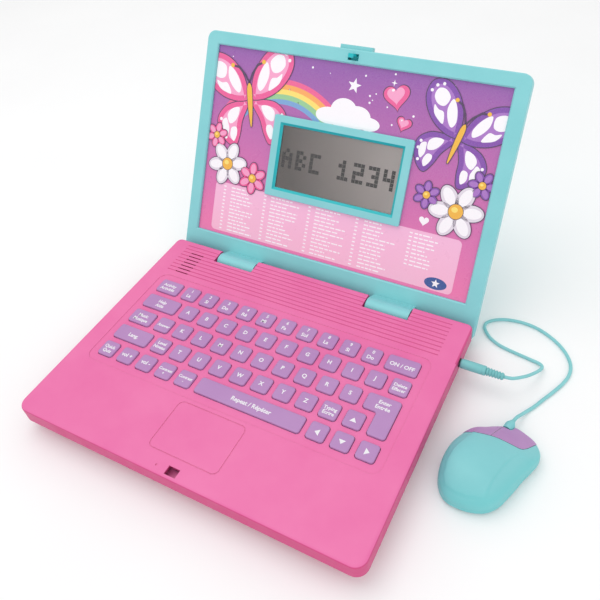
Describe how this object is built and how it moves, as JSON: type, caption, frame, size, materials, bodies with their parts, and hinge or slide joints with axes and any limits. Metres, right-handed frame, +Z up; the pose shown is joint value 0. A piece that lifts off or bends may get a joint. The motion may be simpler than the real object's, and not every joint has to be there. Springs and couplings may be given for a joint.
{
  "type": "toy laptop computer",
  "caption": "Child's folding toy laptop with a hinged screen lid, sprung keys, a slide latch and a small mouse on a cord that plugs into its side.",
  "frame": {"origin": "centre of the base's footprint, at the table, on the middle foot", "axes": "+X towards the laptop's right side, +Y towards its back, +Z up"},
  "size_m": [0.365, 0.3238, 0.1866],
  "materials": {
    "shell_pink": "fine moulded satin, bright pink",
    "shell_turquoise": "fine moulded satin, light turquoise",
    "key_purple": "satin lilac plastic with white printed marks",
    "rubber_black": "matt black rubber",
    "rubber_white": "milky silicone rubber",
    "cord_sleeve": "soft turquoise vinyl sleeve",
    "plug_body": "moulded vinyl grip",
    "steel": "bright zinc-plated steel",
    "board": "green glass-fibre circuit board",
    "black_plastic": "black moulded plastic",
    "battery_skin": "plain printed foil sleeve",
    "artwork": "printed sheet, purple fading to pink",
    "screen_clear": "clear acrylic window",
    "lcd": "grey liquid-crystal panel",
    "lens_red": "red tinted acrylic"
  },
  "bodies": {
    "base": {"base_top_shell": "shell_pink", "base_bottom_shell": "shell_pink", "rubber_feet": "rubber_black", "case_screws": "steel", "main_board": "board", "dome_mat": "rubber_white", "speaker": "black_plastic", "battery_cells": "battery_skin", "battery_contacts": "steel", "battery_door": "shell_pink", "battery_door_screw": "steel", "jack_socket": "black_plastic", "hinge_pin_left": "steel", "hinge_pin_right": "steel"},
    "lid": {"lid_front_frame": "shell_turquoise", "lid_rear_cover": "shell_turquoise", "lid_screws": "steel", "artwork_panel": "artwork", "screen_bezel": "shell_turquoise", "lcd_window": "screen_clear", "lcd_module": "lcd", "lcd_board": "board"},
    "latch": {"lid_latch": "shell_turquoise"},
    "mouse": {"mouse_top_shell": "shell_turquoise", "mouse_base_shell": "shell_turquoise", "mouse_board": "board", "mouse_lens": "lens_red", "mouse_screw": "steel", "mouse_feet": "rubber_black", "mouse_strain_relief": "cord_sleeve"},
    "mouse_left": {"mouse_button_left": "key_purple"},
    "mouse_right": {"mouse_button_right": "key_purple"},
    "plug": {"jack_plug": "plug_body", "plug_strain_relief": "cord_sleeve", "mouse_cord": "cord_sleeve"},
    "number_row": {"number_keys": "key_purple"},
    "upper_letter_row": {"upper_letter_keys": "key_purple"},
    "middle_letter_row": {"middle_letter_keys": "key_purple"},
    "lower_letter_row": {"lower_letter_keys": "key_purple"},
    "activity_button": {"activity_key": "key_purple"},
    "on_off_button": {"on_off_key": "key_purple"},
    "help_button": {"help_key": "key_purple"},
    "delete_button": {"delete_key": "key_purple"},
    "music_button": {"music_key": "key_purple"},
    "match_button": {"match_key": "key_purple"},
    "enter_button": {"enter_key": "key_purple"},
    "language_button": {"language_key": "key_purple"},
    "level_button": {"level_key": "key_purple"},
    "typing_button": {"typing_key": "key_purple"},
    "up_button": {"up_key": "key_purple"},
    "quiz_button": {"quiz_key": "key_purple"},
    "volume_up_button": {"volume_up_key": "key_purple"},
    "volume_down_button": {"volume_down_key": "key_purple"},
    "contrast_up_button": {"contrast_up_key": "key_purple"},
    "contrast_down_button": {"contrast_down_key": "key_purple"},
    "space_button": {"space_key": "key_purple"},
    "left_button": {"left_key": "key_purple"},
    "down_button": {"down_key": "key_purple"},
    "right_button": {"right_key": "key_purple"}
  },
  "joints": [
    {"name": "lid_hinge", "type": "hinge", "parent": "base", "child": "lid", "pos_m": [0, 0.0978, 0.0186], "axis": [1, 0, 0], "range_deg": [0, 121.3]},
    {"name": "latch_slide", "type": "slide", "parent": "lid", "child": "latch", "axis": [0, -0.5204, -0.8539], "range_m": [0, 0.0028]},
    {"name": "plug_pull", "type": "slide", "parent": "base", "child": "plug", "axis": [1, 0, 0], "range_m": [0, 0.015]},
    {"name": "mouse_slide", "type": "slide", "parent": "plug", "child": "mouse", "axis": [0.2334, 0.9724, 0], "range_m": [-0.02, 0.02], "deforming": ["mouse_cord"]},
    {"name": "mouse_left_press", "type": "slide", "parent": "mouse", "child": "mouse_left", "axis": [0, 0, -1], "range_m": [0, 0.0008], "stiffness_N_per_m": 500, "springref_m": -0.0006},
    {"name": "mouse_right_press", "type": "slide", "parent": "mouse", "child": "mouse_right", "axis": [0, 0, -1], "range_m": [0, 0.0008], "stiffness_N_per_m": 500, "springref_m": -0.0006},
    {"name": "number_press", "type": "slide", "parent": "base", "child": "number_row", "axis": [0, 0, -1], "range_m": [0, 0.0015], "stiffness_N_per_m": 600, "springref_m": -0.001},
    {"name": "upper_letter_press", "type": "slide", "parent": "base", "child": "upper_letter_row", "axis": [0, 0, -1], "range_m": [0, 0.0015], "stiffness_N_per_m": 600, "springref_m": -0.001},
    {"name": "middle_letter_press", "type": "slide", "parent": "base", "child": "middle_letter_row", "axis": [0, 0, -1], "range_m": [0, 0.0015], "stiffness_N_per_m": 600, "springref_m": -0.001},
    {"name": "lower_letter_press", "type": "slide", "parent": "base", "child": "lower_letter_row", "axis": [0, 0, -1], "range_m": [0, 0.0015], "stiffness_N_per_m": 600, "springref_m": -0.001},
    {"name": "activity_press", "type": "slide", "parent": "base", "child": "activity_button", "axis": [0, 0, -1], "range_m": [0, 0.0015], "stiffness_N_per_m": 300, "springref_m": -0.001},
    {"name": "on_off_press", "type": "slide", "parent": "base", "child": "on_off_button", "axis": [0, 0, -1], "range_m": [0, 0.0015], "stiffness_N_per_m": 300, "springref_m": -0.001},
    {"name": "help_press", "type": "slide", "parent": "base", "child": "help_button", "axis": [0, 0, -1], "range_m": [0, 0.0015], "stiffness_N_per_m": 300, "springref_m": -0.001},
    {"name": "delete_press", "type": "slide", "parent": "base", "child": "delete_button", "axis": [0, 0, -1], "range_m": [0, 0.0015], "stiffness_N_per_m": 300, "springref_m": -0.001},
    {"name": "music_press", "type": "slide", "parent": "base", "child": "music_button", "axis": [0, 0, -1], "range_m": [0, 0.0015], "stiffness_N_per_m": 300, "springref_m": -0.001},
    {"name": "match_press", "type": "slide", "parent": "base", "child": "match_button", "axis": [0, 0, -1], "range_m": [0, 0.0015], "stiffness_N_per_m": 300, "springref_m": -0.001},
    {"name": "enter_press", "type": "slide", "parent": "base", "child": "enter_button", "axis": [0, 0, -1], "range_m": [0, 0.0015], "stiffness_N_per_m": 300, "springref_m": -0.001},
    {"name": "language_press", "type": "slide", "parent": "base", "child": "language_button", "axis": [0, 0, -1], "range_m": [0, 0.0015], "stiffness_N_per_m": 300, "springref_m": -0.001},
    {"name": "level_press", "type": "slide", "parent": "base", "child": "level_button", "axis": [0, 0, -1], "range_m": [0, 0.0015], "stiffness_N_per_m": 300, "springref_m": -0.001},
    {"name": "typing_press", "type": "slide", "parent": "base", "child": "typing_button", "axis": [0, 0, -1], "range_m": [0, 0.0015], "stiffness_N_per_m": 300, "springref_m": -0.001},
    {"name": "up_press", "type": "slide", "parent": "base", "child": "up_button", "axis": [0, 0, -1], "range_m": [0, 0.0015], "stiffness_N_per_m": 300, "springref_m": -0.001},
    {"name": "quiz_press", "type": "slide", "parent": "base", "child": "quiz_button", "axis": [0, 0, -1], "range_m": [0, 0.0015], "stiffness_N_per_m": 300, "springref_m": -0.001},
    {"name": "volume_up_press", "type": "slide", "parent": "base", "child": "volume_up_button", "axis": [0, 0, -1], "range_m": [0, 0.0015], "stiffness_N_per_m": 300, "springref_m": -0.001},
    {"name": "volume_down_press", "type": "slide", "parent": "base", "child": "volume_down_button", "axis": [0, 0, -1], "range_m": [0, 0.0015], "stiffness_N_per_m": 300, "springref_m": -0.001},
    {"name": "contrast_up_press", "type": "slide", "parent": "base", "child": "contrast_up_button", "axis": [0, 0, -1], "range_m": [0, 0.0015], "stiffness_N_per_m": 300, "springref_m": -0.001},
    {"name": "contrast_down_press", "type": "slide", "parent": "base", "child": "contrast_down_button", "axis": [0, 0, -1], "range_m": [0, 0.0015], "stiffness_N_per_m": 300, "springref_m": -0.001},
    {"name": "space_press", "type": "slide", "parent": "base", "child": "space_button", "axis": [0, 0, -1], "range_m": [0, 0.0015], "stiffness_N_per_m": 300, "springref_m": -0.001},
    {"name": "left_press", "type": "slide", "parent": "base", "child": "left_button", "axis": [0, 0, -1], "range_m": [0, 0.0015], "stiffness_N_per_m": 300, "springref_m": -0.001},
    {"name": "down_press", "type": "slide", "parent": "base", "child": "down_button", "axis": [0, 0, -1], "range_m": [0, 0.0015], "stiffness_N_per_m": 300, "springref_m": -0.001},
    {"name": "right_press", "type": "slide", "parent": "base", "child": "right_button", "axis": [0, 0, -1], "range_m": [0, 0.0015], "stiffness_N_per_m": 300, "springref_m": -0.001}
  ]
}
